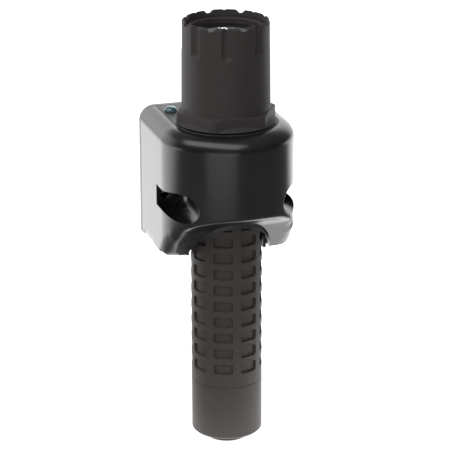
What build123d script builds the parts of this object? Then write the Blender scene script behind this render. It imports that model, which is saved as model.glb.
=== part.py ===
"""A firefighter's hand lamp standing in its wall-mounted charging cradle.

Frame: +Z up, the wall is the plane y = 0 and the cradle stands out towards -Y. The origin lies on
the wall, midway between the two mounting screws. The lamp's long axis is vertical and stands
axis_depth in front of the wall. Every size is in millimetres.
"""

import os

from build123d import *

os.makedirs("parts", exist_ok=True)

# ---------------------------------------------------------------- driving dimensions: cradle
axis_depth = 34.0          # wall to the lamp's axis
cradle_half_width = 28.2   # also the radius of its round front
cradle_top = 31.0          # height of its top face above the mounting screws
cradle_below = 24.8        # depth of its bottom face below the mounting screws
shell_wall = 2.6
top_round = 6.5            # rounding of the top outer edge
plate_thickness = 3.0      # back plate
cover_thickness = 2.0      # textured cover let into the top face
cover_half_width = 21.4
seam = 0.15                # gap round the cover
bore_radius = 18.2         # hole in the housing
sleeve_wall = 2.2          # wall round that hole
liner_outer = 17.5
liner_inner = 16.3
liner_flange = 18.7
liner_drop = 1.3           # the liner's end below the housing's bottom face
guide_gap = 0.4            # between the liner's guide ribs and the barrel
screw_spacing = 48.0       # between the two mounting screws
mount_hole = 2.3
well_radius = 6.0
well_floor = 27.0          # screw well floor in front of the wall
well_wall = 2.2
well_keep = 1.5            # wall left round the bore where the wells pass it
foot_reach = 3.0           # the bottom face ends this far in front of the lamp's axis
lobe_start = 2.0           # the housing's lower corners round off from this far behind the axis
lobe_end = 12.0            # to this far ahead of it
lobe_width = 11.0          # width and height of that rounding at its largest
lobe_height = 18.0
slant_bend = (15.0, 14.2)      # points of the slanted cut: ahead of the lamp's axis, above the bottom
slant_middle = (20.8, 18.4)
slant_crown = (29.0, 21.2)
slant_round = 1.8          # rounding of that cut's outer edge
slant_round_outside = 23.5     # the outer edge lies farther than this from the lamp's axis
arch_height = 16.0         # of the arch in the liner's lower end

# ---------------------------------------------------------------- driving dimensions: lamp
barrel_radius = 15.0
barrel_bore = 11.0
neck_bore = 10.0           # narrower bore behind the charging rings
barrel_length = 113.2      # seat to the tail cap
spigot_length = 10.0       # plain stand-in for each thread
head_spigot = 13.6
tail_spigot = 13.2
fit_gap = 0.05             # running clearance of a turned fit
head_radius = 18.0         # at the rim
head_taper = 0.35          # the head's base is this much larger
skirt_radius = 17.2
skirt_height = 0.6         # hex collar's underside above the cradle's top
head_length = 42.6         # hex collar's underside to the rim
hex_corner = 21.5
hex_round = 21.1           # its corners are turned off at this radius
hex_height = 4.8           # up to where the corners are chamfered
hex_chamfer = 0.8
hex_flange = 20.7          # round flange at the collar's foot, and its two heights
flange_edge = 0.5
flange_flare = 2.2
flute_radius = 3.2
flute_centre = 20.0
flute_length = 13.5
flute_angle = -60.0        # direction of the first flute from +X
notch_depth = 1.45
notch_top = 4.6
notch_bottom = 1.6
rim_count = 8              # flutes, and notches between them
rim_round = 1.2
pocket_columns = 8
pocket_rows = 12
pocket_angle = 31.0
pocket_height = 4.5
pocket_pitch = 7.1
pocket_depth = 0.9
pocket_band = 6.05         # plain band between the tail cap and the lowest pockets
tail_length = 24.0
tail_chamfer = 0.9
tail_floor = 2.5
switch_bore = 11.9
button_radius = 9.2
button_ribs = 40
button_reach = 3.4         # stands out below the tail cap
button_travel = 1.5
cell_radius = 9.2
cell_length = 69.5
slip = 0.1                 # clearance of parts that only slide together at assembly

# ---------------------------------------------------------------- heights and places that follow
cradle_bottom = -cradle_below
seat = cradle_top
tail_seam = seat - barrel_length
tail_end = tail_seam - tail_length
hex_low = seat + skirt_height
rim = hex_low + head_length
plate_front = axis_depth - plate_thickness  # back plate's front face, behind the lamp's axis
lamp_side = Plane(origin=(0, -axis_depth, 0), x_dir=(1, 0, 0), z_dir=(0, -1, 0))
lamp_axis = Axis((0, -axis_depth, 0), (0, 0, 1))


def level(height):
    """The level plane at a height, centred on the lamp's axis."""
    return Plane((0, -axis_depth, height))


def upright(ahead):
    """The plane facing the front, at a distance behind (+) or ahead (-) of the lamp's axis."""
    return Plane(origin=(0, -axis_depth + ahead, 0), x_dir=(1, 0, 0), z_dir=(0, -1, 0))


def turned(*outline, mode=Mode.ADD):
    """Turns a closed outline of (radius, height) points about the lamp's axis."""
    with BuildSketch(lamp_side) as section:
        with BuildLine():
            Polyline(*outline, close=True)
        make_face()
    revolve(section.sketch, axis=lamp_axis, mode=mode)


def ring(outer, inner, low, high, mode=Mode.ADD):
    """A plain ring, or a disc where inner is 0, about the lamp's axis."""
    turned((inner, low), (outer, low), (outer, high), (inner, high), mode=mode)


def d_block(half_width, back, low, high, mode=Mode.ADD):
    """A block with a round front about the lamp's axis, flat sides and a flat back."""
    with BuildSketch(level(low)) as section:
        Circle(half_width)
        with Locations((0, back / 2)):
            Rectangle(2 * half_width, back)
    extrude(section.sketch, amount=high - low, mode=mode)


def torus_ring(mean, section_radius, height):
    """A round-section ring about the lamp's axis."""
    with BuildSketch(lamp_side) as section:
        with Locations((mean, height)):
            Circle(section_radius)
    revolve(section.sketch, axis=lamp_axis)


def coil_spring(foot, length, radius, pitch, wire_radius, direction=(0, 0, 1)):
    """A round-wire spring between two faces that are length apart, from its foot along a direction."""
    end_gap = wire_radius + 0.05
    start = Vector(*foot) + Vector(*direction) * end_gap
    with BuildLine() as coil:
        Helix(pitch=pitch, height=length - 2 * end_gap, radius=radius, center=start, direction=direction)
    with BuildSketch(Plane(origin=coil.line @ 0, z_dir=coil.line % 0)) as wire:
        Circle(wire_radius)
    sweep(wire.sketch, path=coil.line)


def save(piece, name):
    """Labels a finished piece and writes its file."""
    piece.part.label = name
    export_step(piece.part, f"parts/{name}.step")


# ================================================================ cradle
pin_heights = {"lower": seat - 16.0, "upper": seat - 8.5}  # on the lamp's two charging rings
well_places = (-screw_spacing / 2, screw_spacing / 2)
boss_x = 22.6
boss_z = 18.0
boss_radius = 3.3
boss_depth = 17.0
plate_screw = 1.25
board_low, board_high = -11.0, 24.0
board_front = 26.9         # behind the lamp's axis
board_thickness = 1.6
board_half_width = 17.0
block_back = board_front
block_front = bore_radius + sleeve_wall + 0.2
indicator_x = -17.6
indicator_behind = 21.5
indicator_radius = 2.5
jack_behind = 25.6
jack_radius = 4.2
jack_depth = 12.0

# Space inside the housing: open at the back, clear of the sleeve, the wells and the screw bosses.
inner_half_width = cradle_half_width - shell_wall
front_space_low = cradle_bottom + slant_crown[1] + 3.3
space_top = cradle_top - 4.0
way_depth = 7.0            # the way up through the top, for the indicator
pin_way = 1.6

with BuildPart() as space:
    d_block(inner_half_width, plate_front, cradle_bottom + shell_wall, space_top)
    with BuildSketch(level(cradle_bottom)) as lower_front:
        with Locations((0, 1.0 - cradle_half_width)):
            Rectangle(4 * cradle_half_width, 2 * cradle_half_width)
    extrude(lower_front.sketch, amount=front_space_low - cradle_bottom, mode=Mode.SUBTRACT)
    ring(bore_radius + sleeve_wall, 0, cradle_bottom, cradle_top, mode=Mode.SUBTRACT)
    with BuildSketch(upright(axis_depth - well_floor + well_wall)) as well_posts:
        with Locations(*[(x, 0) for x in well_places]):
            Circle(well_radius + well_wall)
    extrude(well_posts.sketch, amount=2 * cradle_half_width, mode=Mode.SUBTRACT)
    with BuildSketch(upright(plate_front)) as posts:
        with Locations(*[(x, 0) for x in well_places]):
            Circle(2 * mount_hole)
        with GridLocations(2 * boss_x, 2 * boss_z, 2, 2):
            Circle(boss_radius)
    extrude(posts.sketch, amount=boss_depth, mode=Mode.SUBTRACT)

with BuildPart() as well_cutter:
    with BuildSketch(upright(axis_depth - well_floor)) as wells:
        with Locations(*[(x, 0) for x in well_places]):
            Circle(well_radius)
    extrude(wells.sketch, amount=2 * cradle_half_width)
    ring(bore_radius + well_keep, 0, cradle_bottom, cradle_top, mode=Mode.SUBTRACT)

with BuildPart() as cradle_housing:
    d_block(cradle_half_width, plate_front, cradle_bottom, cradle_top)
    top_edges = cradle_housing.faces().sort_by(Axis.Z)[-1].edges().sort_by(Axis.Y)
    fillet(top_edges[:-1], radius=top_round)
    # Rounded lower corners, growing from nothing at the sides towards the front.
    for side in (-1, 1):
        sections = []
        for ahead, wide, tall in ((lobe_start, 0.5, 0.5), (-lobe_end, lobe_width, lobe_height)):
            with BuildSketch(upright(ahead)) as corner:
                edge_x = side * cradle_half_width
                tip = (edge_x - side * wide, cradle_bottom)
                top = (edge_x, cradle_bottom + tall)
                with BuildLine():
                    Bezier(tip, (edge_x - side * wide / 2, cradle_bottom), top)
                    Polyline(top, (edge_x + side, top[1]), (edge_x + side, cradle_bottom - 1),
                             (tip[0], cradle_bottom - 1), tip)
                make_face()
            sections.append(corner.sketch.face())
        loft(sections, ruled=True, mode=Mode.SUBTRACT)
    add(space.part, mode=Mode.SUBTRACT)
    # Bore, the seat of the top cover, and the way up through the top behind the bore.
    ring(bore_radius, 0, cradle_bottom - 1, cradle_top + 1, mode=Mode.SUBTRACT)
    d_block(cover_half_width + seam, plate_front, cradle_top - cover_thickness, cradle_top + 1,
            mode=Mode.SUBTRACT)
    with BuildSketch(level(space_top - 1)) as way_up:
        with Locations((0, indicator_behind + 1.0)):
            Rectangle(2 * cover_half_width - 3, way_depth)
        Circle(bore_radius + sleeve_wall, mode=Mode.SUBTRACT)
    extrude(way_up.sketch, amount=4, mode=Mode.SUBTRACT)
    # Screw wells and their holes, the holes of the contact pins, and the supply inlet's hole.
    add(well_cutter.part, mode=Mode.SUBTRACT)
    with BuildSketch(upright(plate_front + 1)) as holes:
        with Locations(*[(x, 0) for x in well_places]):
            Circle(mount_hole)
    extrude(holes.sketch, amount=2 * cradle_half_width, mode=Mode.SUBTRACT)
    with BuildSketch(upright(plate_front + 1)) as boss_holes:
        with GridLocations(2 * boss_x, 2 * boss_z, 2, 2):
            Circle(plate_screw + fit_gap)
    extrude(boss_holes.sketch, amount=boss_depth - 3, mode=Mode.SUBTRACT)
    with BuildSketch(upright(block_front)) as pin_ways:
        with Locations(*[(0, z) for z in pin_heights.values()]):
            Circle(pin_way)
    extrude(pin_ways.sketch, amount=4, mode=Mode.SUBTRACT)
    with BuildSketch(level(cradle_bottom - 1)) as inlet:
        with Locations((0, jack_behind)):
            Circle(jack_radius + slip)
    extrude(inlet.sketch, amount=shell_wall + 2, mode=Mode.SUBTRACT)
    # The lower front is cut away on a slant that eases out towards the front.
    with BuildSketch(Plane.YZ) as slant:
        with BuildLine():
            foot, bend, middle, crown = [(-axis_depth - ahead, cradle_bottom + rise) for ahead, rise
                                         in ((foot_reach, 0), slant_bend, slant_middle, slant_crown)]
            Line(foot, bend)
            ThreePointArc(bend, middle, crown)
            Polyline(crown, (crown[0], cradle_bottom - 2), (foot[0] + 1.7, cradle_bottom - 2), foot)
        make_face()
    extrude(slant.sketch, amount=2 * cradle_half_width, both=True, mode=Mode.SUBTRACT)
    # The outer edge of that cut is rounded off.
    cut_edges = []
    for edge in cradle_housing.edges():
        highest = edge.bounding_box().max
        from_axis = Vector((edge @ 0.5).X, (edge @ 0.5).Y + axis_depth)
        if (from_axis.length > slant_round_outside and highest.Y < 0.1 - axis_depth - foot_reach
                and highest.Z < cradle_bottom + slant_crown[1]):
            cut_edges.append(edge)
    fillet(cut_edges, radius=slant_round)
save(cradle_housing, "cradle_housing")

with BuildPart() as cradle_liner:
    ring(liner_outer, liner_inner, cradle_bottom - liner_drop, cradle_top)
    ring(liner_flange, liner_inner, cradle_top - cover_thickness, cradle_top)
    for turn in (-35, 35, 145, 215):
        with BuildSketch(level(cradle_bottom - liner_drop)) as guide:
            with Locations(Rotation(0, 0, turn)):
                with Locations(((barrel_radius + guide_gap + liner_inner + 0.4) / 2, 0)):
                    Rectangle(liner_inner + 0.4 - barrel_radius - guide_gap, 3.0)
        extrude(guide.sketch, amount=cradle_top - 3 - cradle_bottom + liner_drop)
    # An arch in the front of its lower end.
    with BuildSketch(lamp_side) as arch:
        with Locations((0, cradle_bottom - liner_drop)):
            Ellipse(liner_outer + 0.1, arch_height)
    extrude(arch.sketch, amount=cradle_half_width, mode=Mode.SUBTRACT)
    with BuildSketch(lamp_side) as pin_ways:
        with Locations(*[(0, z) for z in pin_heights.values()]):
            Circle(pin_way)
    extrude(pin_ways.sketch, amount=-cradle_half_width, mode=Mode.SUBTRACT)
save(cradle_liner, "cradle_liner")

with BuildPart() as top_cover:
    d_block(cover_half_width, plate_front - seam, cradle_top - cover_thickness, cradle_top)
    ring(liner_flange + seam, 0, cradle_top - 3, cradle_top + 1, mode=Mode.SUBTRACT)
    with BuildSketch(level(cradle_top)) as window:
        with Locations((indicator_x, indicator_behind)):
            Circle(indicator_radius + 0.4)
    extrude(window.sketch, amount=-cover_thickness, mode=Mode.SUBTRACT)
save(top_cover, "top_cover")

with BuildPart() as back_plate:
    with BuildSketch(upright(axis_depth)) as outline:
        with Locations((0, (cradle_top + cradle_bottom) / 2)):
            Rectangle(2 * cradle_half_width, cradle_top - cradle_bottom)
        fillet(outline.vertices().group_by(Axis.Y)[-1], radius=top_round)
    extrude(outline.sketch, amount=plate_thickness)
    with Locations(Plane(origin=(0, 0, 0), x_dir=(-1, 0, 0), z_dir=(0, 1, 0))):
        with Locations(*[(x, 0) for x in well_places]):
            Hole(mount_hole)
        with GridLocations(2 * boss_x, 2 * boss_z, 2, 2):
            CounterBoreHole(plate_screw + slip, 2.6, 1.8)
save(back_plate, "back_plate")

with BuildPart() as back_plate_screws:
    with Locations(Plane(origin=(0, -1.8, 0), x_dir=(-1, 0, 0), z_dir=(0, 1, 0))):
        with GridLocations(2 * boss_x, 2 * boss_z, 2, 2):
            Cylinder(2.4, 1.5, align=(Align.CENTER, Align.CENTER, Align.MIN))
            Cylinder(plate_screw, 11.0, align=(Align.CENTER, Align.CENTER, Align.MAX))
    with Locations(Plane(origin=(0, -0.3, 0), x_dir=(-1, 0, 0), z_dir=(0, 1, 0))):
        with GridLocations(2 * boss_x, 2 * boss_z, 2, 2):
            Box(3.2, 0.6, 0.7, align=(Align.CENTER, Align.CENTER, Align.MAX), mode=Mode.SUBTRACT)
            Box(0.6, 3.2, 0.7, align=(Align.CENTER, Align.CENTER, Align.MAX), mode=Mode.SUBTRACT)
save(back_plate_screws, "back_plate_screws")

with BuildPart() as charger_board:
    with BuildSketch(upright(board_front + board_thickness)) as outline:
        with Locations((0, (board_low + board_high) / 2)):
            RectangleRounded(2 * board_half_width, board_high - board_low, 1.0)
    extrude(outline.sketch, amount=board_thickness)
    chips = ((-9, 6, 5, 5, 1.4), (9, -2, 7, 4, 2.2), (-8, -5, 4, 7, 2.0), (10, 14, 4, 4, 3.0))
    for x, z, wide, tall, deep in chips:
        with BuildSketch(upright(board_front)) as chip:
            with Locations((x, z)):
                Rectangle(wide, tall)
        extrude(chip.sketch, amount=deep)
save(charger_board, "charger_board")

with BuildPart() as board_stand:
    for x in (-board_half_width + 3, board_half_width - 3):
        with BuildSketch(upright(plate_front)) as stud:
            with Locations((x, 0), (x, 18.0)):
                Circle(2.0)
        extrude(stud.sketch, amount=plate_front - board_front - board_thickness)
save(board_stand, "board_spacers")

block_low = pin_heights["lower"] - 4.5
block_high = pin_heights["upper"] + 4.0
with BuildPart() as contact_block:
    with BuildSketch(upright(block_back)) as outline:
        with Locations((0, (block_low + block_high) / 2)):
            RectangleRounded(10.0, block_high - block_low, 1.0)
    extrude(outline.sketch, amount=block_back - block_front)
    with BuildSketch(upright(block_back - 1.0)) as bores:
        with Locations(*[(0, z) for z in pin_heights.values()]):
            Circle(2.0 + fit_gap)
    extrude(bores.sketch, amount=block_back - block_front - 2.0, mode=Mode.SUBTRACT)
    with BuildSketch(upright(block_back)) as guides:
        with Locations(*[(0, z) for z in pin_heights.values()]):
            Circle(1.2 + fit_gap)
    extrude(guides.sketch, amount=2 * block_back, mode=Mode.SUBTRACT)
save(contact_block, "contact_block")

pin_tip = barrel_radius + 0.3
collar_front = block_front + 1.0
collar_back = collar_front + 1.2
spring_end = block_back - 1.0
for where, height in pin_heights.items():
    with BuildPart() as charge_pin:
        lengthwise = Plane(origin=(0, -axis_depth, height), x_dir=(0, 1, 0), z_dir=(1, 0, 0))
        with BuildSketch(lengthwise) as section:
            with BuildLine():
                Polyline((pin_tip + 0.8, 1.2), (collar_front, 1.2), (collar_front, 2.0),
                         (collar_back, 2.0), (collar_back, 1.0), (collar_back + 2.5, 1.0),
                         (collar_back + 2.5, 0), (pin_tip, 0))
                ThreePointArc((pin_tip, 0), (pin_tip + 0.2, 0.75), (pin_tip + 0.8, 1.2))
            make_face()
        revolve(section.sketch, axis=Axis((0, -axis_depth, height), (0, 1, 0)))
    save(charge_pin, f"charge_pin_{where}")

    with BuildPart() as pin_spring:
        coil_spring((0, -axis_depth + collar_back, height), spring_end - collar_back, 1.55, 0.7, 0.15,
                    direction=(0, 1, 0))
    save(pin_spring, f"pin_spring_{where}")

with BuildPart() as dc_jack:
    with BuildSketch(level(cradle_bottom)) as body:
        with Locations((0, jack_behind)):
            Circle(jack_radius)
    extrude(body.sketch, amount=jack_depth)
    with BuildSketch(level(cradle_bottom)) as mouth:
        with Locations((0, jack_behind)):
            Circle(2.85)
    extrude(mouth.sketch, amount=jack_depth - 2.5, mode=Mode.SUBTRACT)
save(dc_jack, "dc_jack")

with BuildPart() as dc_jack_pin:
    with BuildSketch(level(cradle_bottom + jack_depth - 2.5)) as pin:
        with Locations((0, jack_behind)):
            Circle(1.0)
    extrude(pin.sketch, amount=-7.5)
    fillet(dc_jack_pin.edges().sort_by(Axis.Z)[0], radius=0.6)
save(dc_jack_pin, "dc_jack_pin")

indicator = Plane((indicator_x, -axis_depth + indicator_behind, cradle_top))
with BuildPart(indicator) as indicator_bezel:
    with Locations((0, 0, -cover_thickness)):
        Cylinder(indicator_radius + 0.4, cover_thickness, align=(Align.CENTER, Align.CENTER, Align.MIN))
    Cylinder(indicator_radius + 0.4, 0.3, align=(Align.CENTER, Align.CENTER, Align.MIN))
    Hole(indicator_radius - 0.2)
save(indicator_bezel, "indicator_bezel")

with BuildPart(indicator) as indicator_lens:
    with Locations((0, 0, -1.5)):
        Cylinder(indicator_radius - 0.25, 2.0, align=(Align.CENTER, Align.CENTER, Align.MIN))
    with Locations((0, 0, 0.3)):
        Cylinder(indicator_radius + 0.1, 0.5, align=(Align.CENTER, Align.CENTER, Align.MIN))
    dome_foot = indicator.origin + Vector(0, 0, 0.8)
    with BuildSketch(Plane(origin=dome_foot, x_dir=(1, 0, 0), z_dir=(0, -1, 0))) as dome:
        with BuildLine():
            ThreePointArc((indicator_radius + 0.1, 0), (1.9, 0.85), (0, 1.2))
            Polyline((0, 1.2), (0, 0), (indicator_radius + 0.1, 0))
        make_face()
    revolve(dome.sketch, axis=Axis(indicator.origin, (0, 0, 1)))
save(indicator_lens, "indicator_lens")

with BuildPart(indicator) as indicator_led:
    with Locations((0, 0, -1.5)):
        Cylinder(1.5, 2.5, align=(Align.CENTER, Align.CENTER, Align.MAX))
    with Locations((0, 0, -4.0)):
        Cylinder(1.9, 0.8, align=(Align.CENTER, Align.CENTER, Align.MAX))
save(indicator_led, "indicator_led")

# ================================================================ lamp: head
spigot_top = seat + spigot_length
retainer_top = rim - 2.9
lens_top = rim - 5.5
lens_low = lens_top - 2.2
gasket_low = lens_low - 1.0
flange_low = gasket_low - 1.0
lens_seat = 16.35
reflector_bore = 14.75
sink_low = spigot_top + 1.0
sink_top = sink_low + 4.0
taper_low = hex_low + hex_height + hex_chamfer

with BuildPart() as hex_collar:
    with BuildSketch(level(hex_low)) as hexagon:
        RegularPolygon(hex_corner, 6)
    extrude(hexagon.sketch, amount=taper_low - hex_low)
    turned((0, hex_low), (hex_round, hex_low), (hex_round, hex_low + hex_height),
           (head_radius + head_taper, taper_low), (0, taper_low), mode=Mode.INTERSECT)
    turned((0, hex_low), (hex_flange, hex_low), (hex_flange, hex_low + flange_edge),
           (head_radius, hex_low + flange_flare), (0, hex_low + flange_flare))

with BuildPart() as head_housing:
    turned((0, seat), (skirt_radius, seat), (skirt_radius, hex_low + 1), (head_radius, hex_low + 1),
           (head_radius, taper_low - 0.5), (head_radius + head_taper, taper_low - 0.5),
           (head_radius + head_taper, taper_low), (head_radius, rim), (0, rim))
    fillet(head_housing.edges().filter_by(GeomType.CIRCLE).group_by(Axis.Z)[-1], radius=rim_round)
    add(hex_collar.part)
    turned((0, seat - 1), (head_spigot + fit_gap, seat - 1), (head_spigot + fit_gap, sink_low),
           (reflector_bore, sink_low), (reflector_bore, flange_low), (lens_seat, flange_low),
           (lens_seat, retainer_top), (lens_seat + 0.5, rim + 0.1), (0, rim + 0.1), mode=Mode.SUBTRACT)
    flute_low = rim - flute_length + 2.5
    with Locations(level(flute_low)):
        with PolarLocations(flute_centre, rim_count, start_angle=flute_angle):
            Cylinder(flute_radius, flute_length, align=(Align.CENTER, Align.CENTER, Align.MIN),
                     mode=Mode.SUBTRACT)
            Sphere(flute_radius, mode=Mode.SUBTRACT)
    for turn in range(rim_count):
        heading = flute_angle + (turn + 0.5) * 360 / rim_count
        outward = Vector(1, 0, 0).rotate(Axis.Z, heading)
        across = Vector(0, 1, 0).rotate(Axis.Z, heading)
        with BuildSketch(Plane(origin=(0, -axis_depth, rim), x_dir=across, z_dir=outward)) as notch:
            with BuildLine():
                Polyline((-notch_top / 2, 0.2), (-notch_bottom / 2, -notch_depth),
                         (notch_bottom / 2, -notch_depth), (notch_top / 2, 0.2), close=True)
            make_face()
        extrude(notch.sketch, amount=head_radius + 2, mode=Mode.SUBTRACT)
save(head_housing, "head_housing")

with BuildPart() as lens_retainer:
    turned((14.3, lens_top), (lens_seat - fit_gap, lens_top), (lens_seat - fit_gap, retainer_top - 0.3),
           (lens_seat - 0.35, retainer_top), (14.7, retainer_top), (14.3, retainer_top - 0.4))
save(lens_retainer, "lens_retainer")

with BuildPart() as lens:
    ring(lens_seat - slip, 0, lens_low, lens_top)
save(lens, "lens")

with BuildPart() as lens_gasket:
    ring(lens_seat - slip, reflector_bore, gasket_low, lens_low)
save(lens_gasket, "lens_gasket")

# Reflector: a paraboloid cup whose focus lies in the emitter's dome.
focal = 2.9
cup_mouth = 14.0
cup_hole = 3.6
cup_skin = 0.9


def cup_height(radius):
    """Height of the reflecting surface at a radius."""
    return flange_low + 1.0 - (cup_mouth ** 2 - radius ** 2) / (4 * focal)


with BuildPart() as reflector:
    with BuildSketch(lamp_side) as section:
        with BuildLine():
            bowl = Bezier((cup_hole, cup_height(cup_hole)),
                          ((cup_hole + cup_mouth) / 2,
                           cup_height(0) + cup_hole * cup_mouth / (4 * focal)),
                          (cup_mouth, cup_height(cup_mouth)))
            Polyline(bowl @ 1, (lens_seat - slip, cup_height(cup_mouth)), (lens_seat - slip, flange_low),
                     (cup_mouth + 0.5, flange_low), (cup_mouth + 0.5, flange_low - 1.5))
            back = Bezier((cup_mouth + 0.5, flange_low - 1.5),
                          ((cup_hole + cup_mouth) / 2 + 1.2,
                           cup_height(0) + cup_hole * cup_mouth / (4 * focal) - 1.6),
                          (cup_hole + 1.0, cup_height(cup_hole) - cup_skin))
            Polyline(back @ 1, (cup_hole, cup_height(cup_hole) - cup_skin), bowl @ 0)
        make_face()
    revolve(section.sketch, axis=lamp_axis)
save(reflector, "reflector")

star_top = sink_top + 1.6
emitter_top = star_top + 0.8
with BuildPart() as led_board:
    with BuildSketch(level(sink_top)) as star:
        RegularPolygon(10.0, 6)
        with PolarLocations(10.0, 6):
            Circle(2.0, mode=Mode.SUBTRACT)
    extrude(star.sketch, amount=star_top - sink_top)
save(led_board, "led_board")

with BuildPart() as led_emitter:
    with BuildSketch(level(star_top)) as base:
        RectangleRounded(3.45, 3.45, 0.3)
    extrude(base.sketch, amount=emitter_top - star_top)
    with BuildSketch(lamp_side) as dome:
        with BuildLine():
            CenterArc((0, emitter_top), 1.55, 0, 90)
            Polyline((0, emitter_top + 1.55), (0, emitter_top), (1.55, emitter_top))
        make_face()
    revolve(dome.sketch, axis=lamp_axis)
save(led_emitter, "led_emitter")

sink_foot = sink_low - 4.0
with BuildPart() as heat_sink:
    ring(reflector_bore - slip, 0, sink_low, sink_top)
    ring(neck_bore - slip, neck_bore - 1.6, sink_foot, sink_low)
    with Locations(level(sink_low)):
        with PolarLocations(6.0, 2):
            Cylinder(1.0, 2 * spigot_length, mode=Mode.SUBTRACT)
save(heat_sink, "heat_sink")

with BuildPart() as driver_board:
    ring(neck_bore - slip, 0, sink_foot - 1.6, sink_foot)
    with BuildSketch(level(sink_foot)) as coil_body:
        with Locations((-2.0, 0)):
            Circle(3.2)
        with Locations((4.0, 2.0)):
            Rectangle(3.0, 4.0)
    extrude(coil_body.sketch, amount=2.4)
save(driver_board, "driver_board")

with BuildPart() as head_seal:
    torus_ring(head_spigot - 0.8, 0.78, seat + 3.0)
save(head_seal, "head_seal")

# ================================================================ lamp: barrel
neck_low = seat - 33.0
ring_height = 4.0
ring_depth = 1.7
spigot_low = tail_seam - spigot_length
lowest_pocket = tail_seam + pocket_band
pocket_start = -90 + 180 / pocket_columns - pocket_angle / 2
tail_seal_height = tail_seam - 3.0

with BuildPart() as pocket:
    with BuildSketch(Plane.XZ) as section:
        with Locations(((2 * barrel_radius - pocket_depth + 0.5) / 2, pocket_height / 2)):
            Rectangle(pocket_depth + 0.5, pocket_height)
    revolve(section.sketch, axis=Axis.Z, revolution_arc=pocket_angle)
    radial = [edge for edge in pocket.edges().filter_by(GeomType.LINE)
              if abs(edge.tangent_at(0).Z) < 0.1]
    fillet(radial, radius=0.9)

with BuildPart() as barrel:
    turned((0, spigot_low), (tail_spigot, spigot_low), (tail_spigot, tail_seam),
           (barrel_radius, tail_seam), (barrel_radius, seat), (head_spigot, seat),
           (head_spigot, spigot_top), (0, spigot_top))
    for row in range(pocket_rows):
        with Locations(level(lowest_pocket + row * pocket_pitch)):
            with PolarLocations(0, pocket_columns, start_angle=pocket_start):
                add(pocket.part, mode=Mode.SUBTRACT)
    turned((0, spigot_low - 1), (barrel_bore, spigot_low - 1), (barrel_bore, neck_low),
           (neck_bore, neck_low), (neck_bore, spigot_top + 1), (0, spigot_top + 1), mode=Mode.SUBTRACT)
    for height in pin_heights.values():
        ring(barrel_radius + 1, barrel_radius - ring_depth, height - ring_height / 2,
             height + ring_height / 2, mode=Mode.SUBTRACT)
    ring(head_spigot + 1, head_spigot - 1.6, seat + 2.1, seat + 3.9, mode=Mode.SUBTRACT)
    ring(tail_spigot + 1, tail_spigot - 1.3, tail_seal_height - 0.8, tail_seal_height + 0.8,
         mode=Mode.SUBTRACT)
save(barrel, "barrel")

for where, height in pin_heights.items():
    with BuildPart() as charge_ring:
        ring(barrel_radius - fit_gap, barrel_radius - ring_depth, height - ring_height / 2,
             height + ring_height / 2)
    save(charge_ring, f"charge_ring_{where}")

with BuildPart() as tail_seal:
    torus_ring(tail_spigot - 0.68, 0.6, tail_seal_height)
save(tail_seal, "tail_seal")

tail_floor_top = tail_end + tail_floor
switch_low = tail_floor_top + 3.2
switch_high = switch_low + 6.5
board_top = switch_high + 1.2
cell_low = spigot_low + 7.0
cell_high = cell_low + cell_length
carrier_low = neck_low - 4.0

with BuildPart() as battery_tube:
    ring(barrel_bore - slip, cell_radius + 0.7, spigot_low + 0.8, carrier_low)
save(battery_tube, "battery_tube")

with BuildPart() as battery_cell:
    turned((0, cell_low), (cell_radius - 0.8, cell_low), (cell_radius, cell_low + 0.8),
           (cell_radius, cell_high - 0.8), (cell_radius - 0.8, cell_high), (3.4, cell_high),
           (3.4, cell_high + 1.4), (0, cell_high + 1.4))
save(battery_cell, "battery_cell")

with BuildPart() as contact_carrier:
    ring(barrel_bore - slip, 2.0, carrier_low, neck_low)
    ring(5.6, 4.6, carrier_low - 2.0, carrier_low)
save(contact_carrier, "contact_carrier")

with BuildPart() as front_contact:
    ring(4.4, 0, carrier_low - 0.6, carrier_low)
    ring(1.9, 0, carrier_low, neck_low + 1.0)
save(front_contact, "front_contact")

with BuildPart() as front_spring:
    nub_top = cell_high + 1.4
    coil_spring((0, -axis_depth, nub_top), carrier_low - 0.6 - nub_top, 2.9, 1.1, 0.3)
save(front_spring, "front_spring")

control_low = neck_low + 1.0
control_high = sink_foot - 1.6
with BuildPart() as control_board:
    with BuildSketch(level(control_low)) as outline:
        with Locations((0, 1.5)):
            Rectangle(17.0, 1.6)
    extrude(outline.sketch, amount=control_high - control_low)
    for z, wide, tall in ((6.0, 6.0, 6.0), (15.0, 4.0, 8.0), (24.0, 8.0, 5.0)):
        with BuildSketch(upright(0.7)) as chip:
            with Locations((0, control_low + z)):
                Rectangle(wide, tall)
        extrude(chip.sketch, amount=1.5)
save(control_board, "control_board")

# ================================================================ lamp: tail
with BuildPart() as cap_washer:
    ring(tail_spigot - slip, switch_bore, spigot_low - 0.75, spigot_low - 0.05)
save(cap_washer, "cap_washer")

shoulder = spigot_low - 0.8
with BuildPart() as tail_cap:
    turned((0, tail_end), (barrel_radius - tail_chamfer, tail_end), (barrel_radius, tail_end + tail_chamfer),
           (barrel_radius, tail_seam), (0, tail_seam))
    turned((0, tail_end - 1), (button_radius + 0.35, tail_end - 1), (button_radius + 0.35, tail_floor_top),
           (switch_bore, tail_floor_top), (switch_bore, shoulder), (tail_spigot + fit_gap, shoulder),
           (tail_spigot + fit_gap, tail_seam + 1), (0, tail_seam + 1), mode=Mode.SUBTRACT)
save(tail_cap, "tail_cap")

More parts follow.
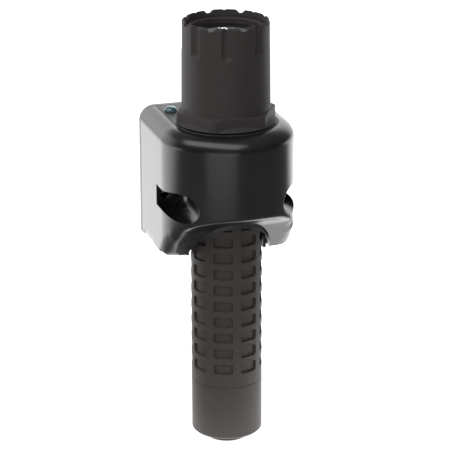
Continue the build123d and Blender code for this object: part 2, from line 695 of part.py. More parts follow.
flange_top = tail_floor_top + 1.2
button_end = tail_end - button_reach
plunger_radius = 2.3
with BuildPart() as tail_button:
    turned((0, button_end + 0.6), (button_radius - 3.4, button_end + 0.6),
           (button_radius - 2.4, button_end), (button_radius - 0.6, button_end),
           (button_radius, button_end + 0.6), (button_radius, tail_floor_top),
           (switch_bore - 0.6, tail_floor_top), (switch_bore - 0.6, flange_top), (0, flange_top))
    with Locations(level(button_end - 0.1)):
        with PolarLocations(button_radius + 0.25, button_ribs):
            Cylinder(0.55, button_reach, align=(Align.CENTER, Align.CENTER, Align.MIN),
                     mode=Mode.SUBTRACT)
    ring(plunger_radius + slip, 0, flange_top - 2.0, flange_top, mode=Mode.SUBTRACT)
save(tail_button, "tail_button")

spring_top = switch_low + 4.0
with BuildPart() as switch_housing:
    ring(switch_bore - slip, 0, switch_low, switch_high)
    ring(4.2, 0, switch_low, spring_top, mode=Mode.SUBTRACT)
    ring(plunger_radius + fit_gap, 0, switch_low, switch_high - 0.8, mode=Mode.SUBTRACT)
save(switch_housing, "switch_housing")

with BuildPart() as switch_plunger:
    ring(plunger_radius, 0, flange_top - 2.0, switch_high - 0.8 - button_travel - 0.3)
save(switch_plunger, "switch_plunger")

with BuildPart() as button_spring:
    coil_spring((0, -axis_depth, flange_top), spring_top - flange_top, 3.3, 1.5, 0.25)
save(button_spring, "button_spring")

with BuildPart() as tail_board:
    ring(8.0, 0, switch_high, board_top)
save(tail_board, "tail_board")

with BuildPart() as switch_retainer:
    ring(switch_bore - fit_gap, 8.4, switch_high, shoulder)
    with Locations(level(shoulder)):
        with PolarLocations(10.1, 2):
            Cylinder(0.7, 3.0, mode=Mode.SUBTRACT)
save(switch_retainer, "switch_retainer")

with BuildPart() as battery_spring:
    coil_spring((0, -axis_depth, board_top), cell_low - board_top, 5.6, 1.9, 0.4)
save(battery_spring, "battery_spring")
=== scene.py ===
"""Looks of a firefighter's hand lamp that stands in its wall charging cradle.

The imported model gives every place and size. The classes below dress its pieces, and replace the ones that
show by pieces with rounded edges and finer detail.
"""

import logging
import math
from dataclasses import dataclass, field
from enum import Enum
from typing import Any, Callable, Optional, Union

import bmesh
import bpy
from mathutils import Matrix, Vector


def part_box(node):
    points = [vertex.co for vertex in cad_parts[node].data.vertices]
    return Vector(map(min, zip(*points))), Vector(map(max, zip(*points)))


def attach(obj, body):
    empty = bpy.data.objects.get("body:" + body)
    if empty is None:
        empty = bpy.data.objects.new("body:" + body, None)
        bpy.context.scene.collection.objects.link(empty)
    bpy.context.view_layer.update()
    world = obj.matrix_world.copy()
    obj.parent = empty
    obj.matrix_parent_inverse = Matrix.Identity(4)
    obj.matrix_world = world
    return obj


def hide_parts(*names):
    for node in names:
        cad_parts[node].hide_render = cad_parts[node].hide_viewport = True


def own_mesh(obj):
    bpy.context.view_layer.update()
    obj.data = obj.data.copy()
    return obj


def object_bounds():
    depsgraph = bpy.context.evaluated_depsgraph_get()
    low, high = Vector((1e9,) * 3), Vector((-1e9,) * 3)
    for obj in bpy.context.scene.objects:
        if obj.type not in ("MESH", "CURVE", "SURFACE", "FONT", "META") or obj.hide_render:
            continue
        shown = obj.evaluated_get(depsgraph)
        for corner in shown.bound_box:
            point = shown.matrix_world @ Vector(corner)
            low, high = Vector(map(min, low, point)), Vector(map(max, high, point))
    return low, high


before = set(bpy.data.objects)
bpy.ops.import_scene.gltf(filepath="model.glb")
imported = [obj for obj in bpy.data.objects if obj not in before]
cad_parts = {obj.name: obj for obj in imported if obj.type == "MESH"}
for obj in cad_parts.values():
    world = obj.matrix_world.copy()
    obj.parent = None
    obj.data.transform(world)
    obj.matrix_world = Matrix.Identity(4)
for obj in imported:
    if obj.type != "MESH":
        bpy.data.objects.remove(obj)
CAD_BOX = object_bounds()

MM = 0.001
DOUBLES = 0.002 * MM            # points nearer than this are one point
FLAT_DEGREES = 0.8              # faces that turn by less are one flat face
CREASE_DEGREES = 32.0           # edges that turn by more stay sharp in the shading
AXIS_Y = -34.0 * MM             # the lamp's axis, in front of the wall
BUTTON_TRAVEL = 1.5 * MM
PIN_TRAVEL = 1.0 * MM
log = logging.getLogger("lamp")


# ---------------------------------------------------------------- shader maths
class Value:
    """A number that varies over a surface: one output socket, with the operators of a number."""

    def __init__(self, graph: "Graph", socket: bpy.types.NodeSocket) -> None:
        """Wraps a socket of a graph."""
        self.graph = graph
        self.socket = socket

    def _maths(self, operation: str, *terms: Any) -> "Value":
        """A Math node on some terms, each a Value or a plain number."""
        node = self.graph.node("ShaderNodeMath", {"operation": operation}, dict(enumerate(terms)))
        return Value(self.graph, node.outputs[0])

    def __add__(self, other: Any) -> "Value":
        """Self plus other."""
        return self._maths("ADD", self, other)

    def __radd__(self, other: Any) -> "Value":
        """Other plus self."""
        return self._maths("ADD", other, self)

    def __sub__(self, other: Any) -> "Value":
        """Self minus other."""
        return self._maths("SUBTRACT", self, other)

    def __rsub__(self, other: Any) -> "Value":
        """Other minus self."""
        return self._maths("SUBTRACT", other, self)

    def __mul__(self, other: Any) -> "Value":
        """Self times other."""
        return self._maths("MULTIPLY", self, other)

    def __rmul__(self, other: Any) -> "Value":
        """Other times self."""
        return self._maths("MULTIPLY", other, self)

    def __gt__(self, other: Any) -> "Value":
        """One where self is above other, and nothing elsewhere."""
        return self._maths("GREATER_THAN", self, other)

    def wrapped(self, span: float) -> "Value":
        """The remainder of self over a span, always positive."""
        return self._maths("FLOORED_MODULO", self, span)

    def smooth(self, low: float, high: float) -> "Value":
        """Nothing up to low, one from high, and an even curve between.

        Args:
            low: where the curve starts.
            high: where it ends; below low, the curve falls.

        Returns:
            The curve's value.
        """
        ends = {"To Min": 0.0, "To Max": 1.0} if low < high else {"To Min": 1.0, "To Max": 0.0}
        node = self.graph.node("ShaderNodeMapRange", {"interpolation_type": "SMOOTHSTEP"},
                               {"Value": self, "From Min": min(low, high), "From Max": max(low, high),
                                **ends})
        return Value(self.graph, node.outputs[0])


class Graph:
    """The node tree of one material or of the world."""

    def __init__(self, owner: Union[bpy.types.Material, bpy.types.World], output: str) -> None:
        """Empties the owner's tree and adds its output node."""
        owner.use_nodes = True
        self.tree = owner.node_tree
        self.tree.nodes.clear()
        self.output = self.tree.nodes.new(output)

    def node(self, kind: str, settings: Optional[dict] = None,
             inputs: Optional[dict] = None) -> bpy.types.Node:
        """Adds any node.

        Args:
            kind: the node's type.
            settings: its properties, set first; "stops" gives a ramp's places and colours.
            inputs: values or links of its sockets, by name or number.

        Returns:
            The node.
        """
        made = self.tree.nodes.new(kind)
        for key, value in (settings or {}).items():
            if key == "stops":
                while len(made.color_ramp.elements) < len(value):
                    made.color_ramp.elements.new(1.0)
                for element, (place, colour) in zip(made.color_ramp.elements, value):
                    element.position, element.color = place, (*colour, 1.0)
            else:
                setattr(made, key, value)
        for key, value in (inputs or {}).items():
            if isinstance(value, Value):
                self.tree.links.new(value.socket, made.inputs[key])
            elif isinstance(value, bpy.types.NodeSocket):
                self.tree.links.new(value, made.inputs[key])
            else:
                made.inputs[key].default_value = value
        return made

    def place(self, scale: tuple = (1.0, 1.0, 1.0), centre: tuple = (0.0, 0.0, 0.0)) -> bpy.types.NodeSocket:
        """Object coordinates about a centre, stretched by a scale."""
        coordinates = self.node("ShaderNodeTexCoord").outputs["Object"]
        moved = self.node("ShaderNodeVectorMath", {"operation": "SUBTRACT"},
                          {0: coordinates, 1: centre}).outputs[0]
        return self.node("ShaderNodeVectorMath", {"operation": "MULTIPLY"}, {0: moved, 1: scale}).outputs[0]

    def noise(self, scale: float, detail: float = 2.0, where: Optional[bpy.types.NodeSocket] = None) -> Value:
        """Cloudy noise, from nothing to one, with features of about 1/scale metres."""
        made = self.node("ShaderNodeTexNoise", {},
                         {"Vector": where or self.place(), "Scale": scale, "Detail": detail,
                          "Roughness": 0.55})
        return Value(self, made.outputs[0])

    def cells(self, scale: float) -> Value:
        """Distance to the nearest of many scattered points, for a grained surface."""
        made = self.node("ShaderNodeTexVoronoi", {"feature": "F1"}, {"Vector": self.place(), "Scale": scale})
        return Value(self, made.outputs["Distance"])

    def axes(self, centre: tuple = (0.0, 0.0, 0.0)) -> tuple:
        """The three object coordinates about a centre, as Values."""
        split = self.node("ShaderNodeSeparateXYZ", {}, {0: self.place(centre=centre)})
        return tuple(Value(self, socket) for socket in split.outputs)

    def blend(self, share: Value, low: tuple, high: tuple) -> bpy.types.NodeSocket:
        """A colour between two colours or links, by a share."""
        pair = [colour if isinstance(colour, bpy.types.NodeSocket) else (*colour, 1.0)
                for colour in (low, high)]
        made = self.node("ShaderNodeMix", {"data_type": "RGBA"}, {0: share, 6: pair[0], 7: pair[1]})
        return made.outputs[2]

    def bump(self, height: Value, depth: float, rounding: float = 0.0) -> bpy.types.NodeSocket:
        """A normal from a height.

        Args:
            height: from nothing to one.
            depth: what one stands for, in metres.
            rounding: radius that edges appear rounded to, in metres.

        Returns:
            The normal's socket.
        """
        inputs = {"Height": height, "Distance": depth, "Strength": 1.0}
        if rounding:
            soft = self.node("ShaderNodeBevel", {"samples": 4}, {"Radius": rounding})
            inputs["Normal"] = soft.outputs[0]
        return self.node("ShaderNodeBump", {}, inputs).outputs[0]

    def surface(self, inputs: dict) -> None:
        """A Principled shader with these sockets, as the material's surface."""
        shader = self.node("ShaderNodeBsdfPrincipled", {}, inputs)
        self.tree.links.new(shader.outputs[0], self.output.inputs[0])


def fresh(name: str) -> tuple:
    """A new material and its graph."""
    material = bpy.data.materials.new(name)
    return material, Graph(material, "ShaderNodeOutputMaterial")


# ---------------------------------------------------------------- finishes
@dataclass(frozen=True)
class Moulded:
    """A moulded plastic or rubber: fine grain, a little mottling, and a dull bloom."""

    name: str
    colour: tuple
    paler: tuple
    roughness: float
    grain: float = 5200.0
    grain_depth: float = 0.02 * MM
    rounding: float = 0.22 * MM
    specular: float = 0.5

    def build(self) -> bpy.types.Material:
        """Makes the material."""
        material, graph = fresh(self.name)
        cloud = graph.noise(140.0, 4.0)
        grain = graph.noise(self.grain, 2.0)
        graph.surface({
            "Base Color": graph.blend(0.55 * cloud + 0.45 * grain.smooth(0.35, 0.7), self.colour, self.paler),
            "Roughness": self.roughness - 0.06 + 0.12 * cloud,
            "Specular IOR Level": self.specular,
            "Normal": graph.bump(grain, self.grain_depth, self.rounding),
        })
        return material


@dataclass(frozen=True)
class GlossShell:
    """A semi-gloss moulded shell: slow ripples in the skin, fine rub marks and a trace of grain."""

    name: str
    colour: tuple
    roughness: float = 0.2

    def build(self) -> bpy.types.Material:
        """Makes the material."""
        material, graph = fresh(self.name)
        ripple = graph.noise(95.0, 1.0)
        grain = graph.noise(2600.0, 2.0)
        rubbed = graph.noise(60.0, 5.0, graph.place(scale=(1.0, 1.0, 0.25))).smooth(0.45, 0.75)
        graph.surface({
            "Base Color": graph.blend(rubbed, self.colour, tuple(1.5 * c for c in self.colour)),
            "Roughness": self.roughness + 0.07 * rubbed + 0.04 * grain,
            "Specular IOR Level": 0.5,
            "Normal": graph.bump(ripple + 0.16 * grain, 0.035 * MM, 0.3 * MM),
        })
        return material


@dataclass(frozen=True)
class Grained:
    """A spark-eroded, grainy plastic face."""

    name: str
    colour: tuple
    paler: tuple
    roughness: float = 0.42

    def build(self) -> bpy.types.Material:
        """Makes the material."""
        material, graph = fresh(self.name)
        pits = graph.cells(1500.0)
        fine = graph.noise(3200.0, 3.0)
        height = 0.65 * pits + 0.5 * fine
        graph.surface({
            "Base Color": graph.blend(pits.smooth(0.2, 0.8), self.colour, self.paler),
            "Roughness": self.roughness + 0.2 * (fine - 0.5),
            "Normal": graph.bump(height, 0.16 * MM, 0.2 * MM),
        })
        return material


class Turning(Enum):
    """Which way the fine marks of a metal part run."""

    ROUND = "round"
    ALONG = "along"
    PLAIN = "plain"


@dataclass(frozen=True)
class Metal:
    """A bare or plated metal with fine tool marks."""

    name: str
    colour: tuple
    roughness: float
    marks: Turning = Turning.PLAIN
    stained: float = 0.15

    def build(self) -> bpy.types.Material:
        """Makes the material."""
        material, graph = fresh(self.name)
        stretch = {Turning.ROUND: (0.05, 0.05, 1.0), Turning.ALONG: (1.0, 1.0, 0.05),
                   Turning.PLAIN: (1.0, 1.0, 1.0)}[self.marks]
        marks = graph.noise(5200.0, 3.0, graph.place(scale=stretch))
        cloud = graph.noise(240.0, 3.0)
        dark = tuple(c * (1.0 - self.stained) for c in self.colour)
        graph.surface({
            "Base Color": graph.blend(cloud, dark, self.colour),
            "Metallic": 1.0,
            "Roughness": self.roughness - 0.06 + 0.14 * marks,
            "Normal": graph.bump(marks, 0.008 * MM, 0.15 * MM),
        })
        return material


@dataclass(frozen=True)
class Clear:
    """A clear moulded or cut window, with the faintest haze."""

    name: str
    colour: tuple
    transmission: float = 1.0
    roughness: float = 0.015

    def build(self) -> bpy.types.Material:
        """Makes the material."""
        material, graph = fresh(self.name)
        haze = graph.noise(180.0, 3.0)
        graph.surface({
            "Base Color": graph.blend(haze, self.colour, tuple(min(1.0, 1.03 * c) for c in self.colour)),
            "Roughness": self.roughness + 0.02 * haze,
            "Transmission Weight": self.transmission,
            "IOR": 1.49,
            "Normal": graph.bump(haze, 0.004 * MM),
        })
        return material


@dataclass(frozen=True)
class CircuitBoard:
    """A lacquered board with copper runs under the lacquer and tinned pads."""

    name: str
    colour: tuple
    run: tuple
    spacing: float = 1.7 * MM

    def build(self) -> bpy.types.Material:
        """Makes the material."""
        material, graph = fresh(self.name)
        x, _, z = graph.axes()
        wander = graph.noise(160.0, 1.0)
        lane = (x + z + 0.9 * MM * wander).wrapped(self.spacing)
        runs = (lane.smooth(0.25 * self.spacing, 0.32 * self.spacing)
                * lane.smooth(0.62 * self.spacing, 0.55 * self.spacing))
        breaks = graph.noise(310.0, 0.0).smooth(0.48, 0.5)
        pads = graph.cells(420.0).smooth(0.2, 0.16)
        lacquer = graph.blend(runs * breaks, self.colour, self.run)
        graph.surface({
            "Base Color": graph.blend(pads, lacquer, (0.62, 0.62, 0.6)),
            "Metallic": pads,
            "Roughness": 0.3 + 0.2 * wander,
            "Normal": graph.bump(runs * breaks + pads, 0.03 * MM),
        })
        return material


@dataclass(frozen=True)
class CellWrap:
    """The shrunk sleeve of a battery cell, wrinkled at its ends, over its bare steel ends."""

    name: str
    colour: tuple
    low: float
    high: float
    radius: float
    axis: tuple

    def build(self) -> bpy.types.Material:
        """Makes the material."""
        material, graph = fresh(self.name)
        x, y, z = graph.axes(self.axis)
        away = (x * x + y * y) > (self.radius - 1.5 * MM) ** 2
        sleeve = (z > self.low) * away
        wrinkles = graph.noise(900.0, 2.0, graph.place(scale=(1.0, 1.0, 0.2)))
        band = (z > self.high - 6.0 * MM) * (1.0 - (z > self.high - 4.2 * MM))
        sleeved = graph.blend(band, self.colour, (0.75, 0.75, 0.72))
        graph.surface({
            "Base Color": graph.blend(sleeve, (0.6, 0.6, 0.6), sleeved),
            "Metallic": 1.0 - sleeve,
            "Roughness": 0.22 + 0.14 * wrinkles,
            "Normal": graph.bump(wrinkles, 0.05 * MM),
        })
        return material


@dataclass(frozen=True)
class FacetedMirror:
    """Vacuum metal on a moulded bowl, with the orange peel of its lacquer."""

    name: str
    colour: tuple = (0.93, 0.93, 0.94)

    def build(self) -> bpy.types.Material:
        """Makes the material."""
        material, graph = fresh(self.name)
        peel = graph.cells(900.0)
        graph.surface({
            "Base Color": graph.blend(peel, self.colour, tuple(0.97 * c for c in self.colour)),
            "Metallic": 1.0,
            "Roughness": 0.04 + 0.05 * peel,
            "Normal": graph.bump(peel, 0.05 * MM),
        })
        return material


NYLON = Moulded("black_nylon", (0.026, 0.0225, 0.0222), (0.05, 0.0435, 0.043), 0.6, specular=0.27)
NYLON_BARREL = Moulded("black_nylon_barrel", (0.031, 0.0255, 0.0235), (0.056, 0.047, 0.043), 0.55,
                       specular=0.38)
SHELL = GlossShell("black_shell", (0.006, 0.0057, 0.0058))
COVER = Grained("grained_cover", (0.02, 0.02, 0.021), (0.055, 0.055, 0.056))
LINER = Moulded("satin_liner", (0.02, 0.02, 0.02), (0.035, 0.035, 0.035), 0.36)
PLATE = Moulded("satin_plate", (0.1, 0.1, 0.102), (0.15, 0.15, 0.153), 0.4, grain=3600.0)
CARRIER = Moulded("white_carrier", (0.66, 0.65, 0.6), (0.76, 0.75, 0.71), 0.45)
RUBBER = Moulded("button_rubber", (0.016, 0.016, 0.016), (0.034, 0.033, 0.032), 0.72, grain=2500.0)
SEAL = Moulded("seal_rubber", (0.012, 0.012, 0.012), (0.022, 0.022, 0.022), 0.4)
STEEL = Metal("bright_steel", (0.62, 0.62, 0.63), 0.3)
WIRE = Metal("spring_wire", (0.66, 0.66, 0.67), 0.24, Turning.ALONG)
NICKEL = Metal("nickel_contact", (0.78, 0.76, 0.72), 0.2, Turning.ROUND, 0.1)
BRASS = Metal("plain_brass", (0.83, 0.62, 0.28), 0.26, Turning.ROUND)
ALUMINIUM = Metal("turned_aluminium", (0.75, 0.75, 0.76), 0.34, Turning.ROUND)
LENS_GLASS = Clear("lens_glass", (0.97, 0.985, 0.98))
DOME = Clear("indicator_dome", (0.42, 0.74, 0.78), 0.85, 0.05)
LED_DOME = Clear("emitter_dome", (0.98, 0.97, 0.88), 0.95, 0.02)
BOARD = CircuitBoard("green_board", (0.012, 0.09, 0.045), (0.03, 0.17, 0.08))
STAR = CircuitBoard("white_board", (0.72, 0.73, 0.72), (0.8, 0.8, 0.78))
MIRROR = FacetedMirror("metallised_bowl")
BEZEL = Moulded("dark_bezel", (0.012, 0.02, 0.022), (0.02, 0.03, 0.033), 0.22)
DIODE = Moulded("teal_diode", (0.005, 0.09, 0.11), (0.01, 0.14, 0.17), 0.25)


# ---------------------------------------------------------------- mesh tools
def dress(piece: bpy.types.Object, finish: Any) -> bpy.types.Object:
    """Gives a piece one finish, all over."""
    name = finish.name
    material = bpy.data.materials.get(name) or finish.build()
    piece.data.materials.clear()
    piece.data.materials.append(material)
    return piece


def made_piece(mesh: bmesh.types.BMesh, name: str, body: str,
               finish: Any) -> bpy.types.Object:
    """Turns a finished bmesh into a piece that rides on a body, with flat faces that shade flat.

    Args:
        mesh: the shape, in the row frame; it is freed.
        name: the piece's name.
        body: the body that it moves with.
        finish: what it is dressed in.

    Returns:
        The new object.
    """
    for edge in mesh.edges:
        edge.smooth = edge.is_manifold and edge.calc_face_angle(0.0) < math.radians(CREASE_DEGREES)
    for face in mesh.faces:
        face.smooth = True
    data = bpy.data.meshes.new(name)
    mesh.to_mesh(data)
    mesh.free()
    piece = bpy.data.objects.new(name, data)
    bpy.context.scene.collection.objects.link(piece)
    even = piece.modifiers.new("even_shading", "WEIGHTED_NORMAL")
    even.mode, even.weight, even.keep_sharp = "FACE_AREA", 50, True
    dress(piece, finish)
    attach(piece, body)
    log.info("%s: %d faces on %s", name, len(data.polygons), body)
    return piece


def merged_copy(node: str) -> bmesh.types.BMesh:
    """A CAD node's shape with its doubles merged and its flat faces joined."""
    mesh = bmesh.new()
    mesh.from_mesh(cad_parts[node].data)
    bmesh.ops.remove_doubles(mesh, verts=mesh.verts, dist=DOUBLES)
    bmesh.ops.dissolve_limit(mesh, angle_limit=math.radians(FLAT_DEGREES), verts=mesh.verts, edges=mesh.edges,
                             delimit={"NORMAL"})
    return mesh


def bevelled(mesh: bmesh.types.BMesh, size: float, chosen: Callable[[Vector], bool],
             sharp: float = 35.0) -> None:
    """Rounds the sharp edges of a shape.

    Args:
        mesh: the shape.
        size: how far each round reaches from its edge, in metres.
        chosen: says from an edge's middle whether it is rounded.
        sharp: only edges that turn by more degrees than this are rounded.
    """
    edges = [edge for edge in mesh.edges
             if edge.is_manifold and edge.calc_face_angle(0.0) > math.radians(sharp)
             and chosen((edge.verts[0].co + edge.verts[1].co) / 2)]
    bmesh.ops.bevel(mesh, geom=edges, offset=size, offset_type="OFFSET", segments=2, profile=0.5,
                    affect="EDGES", material=-1, clamp_overlap=False)


def drop_doubled(mesh: bmesh.types.BMesh) -> None:
    """Deletes triangles that lie back to back on the same three points, and so enclose nothing."""
    mesh.verts.index_update()
    alike: dict = {}
    for face in mesh.faces:
        if len(face.verts) == 3:
            alike.setdefault(frozenset(vert.index for vert in face.verts), []).append(face)
    doubled = [face for faces in alike.values() if len(faces) > 1 for face in faces]
    bmesh.ops.delete(mesh, geom=doubled, context="FACES")


def melted(mesh: bmesh.types.BMesh, share: Callable[[Vector], float], longest: float, rounds: int) -> None:
    """Rounds a zone of a shape as a whole: cuts it fine, then draws each point towards its neighbours.

    Args:
        mesh: the shape.
        share: says how much of the rounding a place gets, from nothing to one.
        longest: the longest edge that is left in the zone, in metres.
        rounds: how often the points are drawn together.
    """
    for _ in range(8):
        faces = [face for face in mesh.faces
                 if len(face.verts) > 3 and any(share(vert.co) > 0 for vert in face.verts)]
        bmesh.ops.triangulate(mesh, faces=faces)
        drop_doubled(mesh)
        long = [edge for edge in mesh.edges if edge.calc_length() > longest
                and (share(edge.verts[0].co) > 0 or share(edge.verts[1].co) > 0)]
        if not long:
            break
        bmesh.ops.subdivide_edges(mesh, edges=long, cuts=1)
    shares = {vert: share(vert.co) for vert in mesh.verts}
    moving = [(vert, amount) for vert, amount in shares.items() if amount > 0]
    for _ in range(rounds):
        places = []
        for vert, amount in moving:
            around = [edge.other_vert(vert).co for edge in vert.link_edges]
            places.append(vert.co.lerp(sum(around, Vector()) / len(around), 0.5 * amount))
        for (vert, _), place in zip(moving, places):
            vert.co = place


def eased(value: float, low: float, high: float) -> float:
    """Nothing up to low, one from high, and an even curve between."""
    part = min(1.0, max(0.0, (value - low) / (high - low)))
    return part * part * (3.0 - 2.0 * part)


@dataclass(frozen=True)
class Softened:
    """A CAD node's copy with its moulded or turned edges rounded."""

    node: str
    name: str
    body: str
    slot: str
    finish: Any
    size: float

    def build(self, chosen: Callable[[Vector], bool] = lambda middle: True,
              mesh: Optional[bmesh.types.BMesh] = None) -> bpy.types.Object:
        """Makes the copy, which replaces its node.

        Args:
            chosen: says from an edge's middle whether it is rounded.
            mesh: the merged copy, where some of its edges were worked before.

        Returns:
            The new piece.
        """
        mesh = mesh or merged_copy(self.node)
        bevelled(mesh, self.size, chosen)
        piece = made_piece(mesh, self.name, self.body, self.finish)
        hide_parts(self.node)
        return piece


@dataclass(frozen=True)
class PressedSpring:
    """A spring's copy, made in spring wire, with a mesh of its own."""

    node: str
    name: str
    body: str
    joint: str
    travel: float
    along: tuple

    def build(self) -> bpy.types.Object:
        """Makes the copy, which replaces its node."""
        piece = made_piece(merged_copy(self.node), self.name, self.body, WIRE)
        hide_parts(self.node)
        low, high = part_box(self.node)
        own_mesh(piece)
        return piece


# ---------------------------------------------------------------- the object's sub-assemblies
@dataclass
class Cradle:
    """The wall charging cradle: shell, grained cover, liner, plate, board and charging pins."""

    lip: float = 0.16 * MM
    lip_above: float = -6.0 * MM            # the shell's edges below this height are left to the lobes
    lobe_mesh: float = 0.9 * MM             # longest edge in the lobes
    lobe_rounds: int = 90
    dressed: dict = field(default_factory=lambda: {
        "back_plate_screws": STEEL, "charger_board": BOARD, "board_spacers": CARRIER,
        "contact_block": LINER, "charge_pin_lower": NICKEL, "charge_pin_upper": NICKEL,
        "dc_jack": LINER, "dc_jack_pin": NICKEL,
        "indicator_lens": DOME, "indicator_led": DIODE})

    def build(self) -> None:
        """Dresses the cradle's pieces, and rounds the edges of those outside."""
        for node, finish in self.dressed.items():
            dress(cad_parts[node], finish)
        self.shell()
        Softened("cradle_liner", "liner_sleeve", "cradle", "liner", LINER, 0.14 * MM).build()
        Softened("top_cover", "grained_top", "cradle", "grain", COVER, 0.12 * MM).build()
        Softened("back_plate", "wall_plate", "cradle", "plate", PLATE, 0.2 * MM).build()
        Softened("indicator_bezel", "indicator_rim", "cradle", "liner", BEZEL, 0.07 * MM).build()
        for place in ("lower", "upper"):
            PressedSpring(f"pin_spring_{place}", f"pin_coil_{place}", "cradle", f"charge_pin_{place}_press",
                          PIN_TRAVEL, (0.0, 1.0, 0.0)).build()

    def shell(self) -> None:
        """The outer shell: its well mouths, arch and cover seat get a small round, its lobes a large one."""
        mesh = merged_copy("cradle_housing")
        melted(mesh, self.lobe_share, self.lobe_mesh, self.lobe_rounds)
        Softened("cradle_housing", "cradle_shell", "cradle", "shell", SHELL, self.lip).build(
            lambda middle: self.lobe_share(middle) == 0 and middle.z > self.lip_above, mesh)

    def lobe_share(self, place: Vector) -> float:
        """How much of the rounding a place on the shell's lower outer sides gets."""
        if abs(place.x) < 25.7 * MM and place.z > -22.4 * MM and place.y > -33.1 * MM:
            return 0.0
        away = math.hypot(place.x, place.y - AXIS_Y)
        return (eased(away, 21.0 * MM, 23.5 * MM) * eased(-place.z, 7.0 * MM, 13.0 * MM)
                * eased(-place.y, 3.2 * MM, 7.0 * MM) * eased(abs(place.x), 11.0 * MM, 15.0 * MM))


@dataclass
class Lamp:
    """The hand lamp: head, light engine, barrel, cell and tail switch."""

    seam_round: float = 0.26 * MM
    dressed: dict = field(default_factory=lambda: {
        "lens": LENS_GLASS, "lens_gasket": SEAL,
        "reflector": MIRROR, "led_board": STAR, "led_emitter": LED_DOME, "heat_sink": ALUMINIUM,
        "driver_board": BOARD, "head_seal": SEAL, "charge_ring_lower": NICKEL,
        "charge_ring_upper": NICKEL, "tail_seal": SEAL, "battery_tube": CARRIER,
        "contact_carrier": CARRIER, "front_contact": BRASS, "front_spring": WIRE, "control_board": BOARD,
        "cap_washer": STEEL, "switch_housing": LINER,
        "switch_plunger": CARRIER, "tail_board": BOARD, "switch_retainer": BRASS,
        "battery_spring": WIRE})

    def build(self) -> None:
        """Dresses the lamp's pieces, and rounds the edges of those outside."""
        for node, finish in self.dressed.items():
            dress(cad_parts[node], finish)
        Softened("head_housing", "head_shell", "lamp", "nylon", NYLON, 0.14 * MM).build()
        Softened("lens_retainer", "lens_ring", "lamp", "nylon", NYLON, 0.1 * MM).build()
        Softened("tail_button", "switch_button", "button", "button", RUBBER, 0.08 * MM).build()
        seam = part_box("tail_cap")[1].z
        for node, name, body, size in (("barrel", "grip_barrel", "lamp", 0.08 * MM),
                                       ("tail_cap", "tail_shell", "tail", 0.16 * MM)):
            mesh = merged_copy(node)
            bevelled(mesh, self.seam_round, lambda middle: abs(middle.z - seam) < 0.05 * MM)
            Softened(node, name, body, "nylon", NYLON_BARREL, size).build(
                lambda middle: abs(middle.z - seam) > 0.5 * MM, mesh)
        PressedSpring("button_spring", "button_coil", "tail", "tail_button_press", BUTTON_TRAVEL,
                      (0.0, 0.0, 1.0)).build()
        low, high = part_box("battery_cell")
        middle = (low + high) / 2
        cell = CellWrap("cell_wrap", (0.02, 0.09, 0.2), low.z + 0.5 * MM, high.z - 1.4 * MM,
                        (high.x - low.x) / 2, (middle.x, middle.y, 0.0))
        dress(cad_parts["battery_cell"], cell)


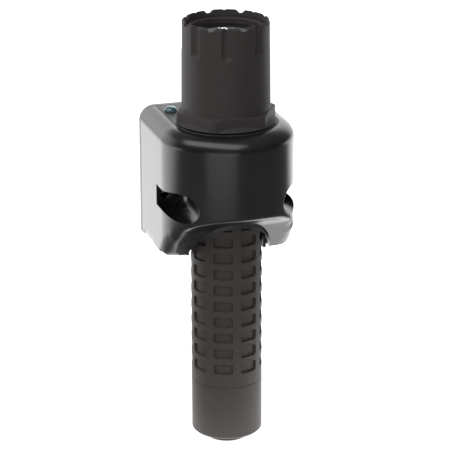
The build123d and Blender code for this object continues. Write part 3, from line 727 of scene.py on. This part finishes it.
# ---------------------------------------------------------------- studio
@dataclass
class Studio:
    """The camera, the pale floor and the soft light round the object."""

    focal_mm: float = 168.0
    azimuth: float = -17.0
    elevation: float = 19.2
    distance: float = 0.880
    roll: float = -0.17
    aim: tuple = (0.0, -0.034, -0.0143)
    left_of_aim: float = 0.54 * MM
    room_glow: float = 0.06                 # of the floor in front, where nothing is lit
    rear_glow: float = 2.3                  # of the floor just behind the object
    rear_fall: float = 1.1                  # how much of that is lost far behind
    under_glow: float = 2.3                 # of the floor beneath the cradle
    under_centre: tuple = (0.05, 0.005)
    brightest: float = 4.0                  # the top of the floor's scale
    sky_room: float = 0.08
    sky_rear: float = 1.8
    sky_ceiling: float = 0.2

    def build(self) -> None:
        """Sets up everything that isn't the object."""
        self.camera()
        self.floor()
        self.surroundings()
        self.softbox("key_light", azimuth=-46.0, elevation=58.0, size=(1.5, 0.5), away=0.85, power=6.5)
        self.softbox("front_fill", azimuth=-24.0, elevation=-7.0, size=(0.36, 0.26), away=0.4, power=0.34)

    def towards(self, azimuth: float, elevation: float) -> Vector:
        """Unit vector from the object to where azimuth and elevation say."""
        turn, rise = math.radians(azimuth), math.radians(elevation)
        return Vector((math.sin(turn) * math.cos(rise), -math.cos(turn) * math.cos(rise), math.sin(rise)))

    def placed(self, item: bpy.types.Object, azimuth: float, elevation: float, away: float) -> None:
        """Stands an item off the object, turned to face it."""
        back = self.towards(azimuth, elevation)
        right = Vector((math.cos(math.radians(azimuth)), math.sin(math.radians(azimuth)), 0.0))
        matrix = Matrix((right, back.cross(right), back)).transposed().to_4x4()
        matrix.translation = Vector(self.aim) + back * away
        item.matrix_world = matrix

    def camera(self) -> None:
        """The camera, well back from the object, with a long lens."""
        data = bpy.data.cameras.new("camera")
        data.lens, data.sensor_width = self.focal_mm, 36.0
        data.clip_start, data.clip_end = 0.05, 20.0
        camera = bpy.data.objects.new("camera", data)
        bpy.context.scene.collection.objects.link(camera)
        self.placed(camera, self.azimuth, self.elevation, self.distance)
        shift = Matrix.Translation((-self.left_of_aim, 0, 0))
        camera.matrix_world = camera.matrix_world @ shift @ Matrix.Rotation(math.radians(self.roll), 4, "Z")
        bpy.context.scene.camera = camera

    def floor(self) -> None:
        """A wide pale floor under the lamp's tail."""
        mesh = bmesh.new()
        bmesh.ops.create_grid(mesh, x_segments=1, y_segments=1, size=6.0)
        bmesh.ops.translate(mesh, verts=mesh.verts, vec=(0, 0, CAD_BOX[0].z - 0.1 * MM))
        data = bpy.data.meshes.new("floor")
        mesh.to_mesh(data)
        mesh.free()
        floor = bpy.data.objects.new("floor", data)
        bpy.context.scene.collection.objects.link(floor)
        material, graph = fresh("pale_floor")
        x, y, _ = graph.axes()
        seen = Value(graph, graph.node("ShaderNodeLightPath").outputs["Is Camera Ray"])
        rear = y.smooth(0.04, 0.19) * (self.rear_glow - self.rear_fall * y.smooth(0.4, 0.8))
        side, back = x - self.under_centre[0], y - self.under_centre[1]
        under = self.under_glow * (side * side + back * back).smooth(0.019, 0.002)
        glow = (self.room_glow + rear + under) * (1.0 / self.brightest)
        lit = graph.blend(glow, (0.0, 0.0, 0.0), (self.brightest, self.brightest, self.brightest + 0.02))
        graph.surface({"Base Color": graph.blend(seen, (0.3, 0.3, 0.3), (0.82, 0.82, 0.82)), "Roughness": 0.8,
                       "Emission Color": graph.blend(seen, lit, (0.95, 0.95, 0.95)),
                       "Emission Strength": 1.0})
        data.materials.append(material)

    def surroundings(self) -> None:
        """A white studio behind and at the sides, with the dim room in front."""
        world = bpy.data.worlds.new("studio")
        bpy.context.scene.world = world
        graph = Graph(world, "ShaderNodeOutputWorld")
        towards = graph.node("ShaderNodeTexCoord").outputs["Generated"]
        split = graph.node("ShaderNodeSeparateXYZ", {}, {0: towards})
        x, y, z = (Value(graph, socket) for socket in split.outputs)
        behind = (y - 0.07 * x).smooth(0.33, 0.75)
        low = z.smooth(0.62, 0.3)
        bright = self.sky_room + self.sky_rear * behind * low + self.sky_ceiling * z.smooth(-0.1, 0.6)
        seen = Value(graph, graph.node("ShaderNodeLightPath").outputs["Is Camera Ray"])
        strength = seen * 1.05 + (1.0 - seen) * bright
        light = graph.node("ShaderNodeBackground", {}, {"Color": (1.0, 1.0, 1.0, 1.0), "Strength": strength})
        graph.tree.links.new(light.outputs[0], graph.output.inputs[0])

    def softbox(self, name: str, azimuth: float, elevation: float, size: tuple, away: float,
                power: float) -> None:
        """A rectangular soft light that faces the object."""
        data = bpy.data.lights.new(name, "AREA")
        data.shape, data.size, data.size_y, data.energy = "RECTANGLE", size[0], size[1], power
        light = bpy.data.objects.new(name, data)
        bpy.context.scene.collection.objects.link(light)
        self.placed(light, azimuth, elevation, away)
        light.visible_camera = False


def main() -> None:
    """Builds the studio and the object's sub-assemblies, in order."""
    logging.basicConfig(level=logging.INFO, format="%(message)s")
    bpy.context.scene.view_settings.view_transform = "Standard"
    Studio().build()
    Cradle().build()
    Lamp().build()


if __name__ == "__main__":
    main()
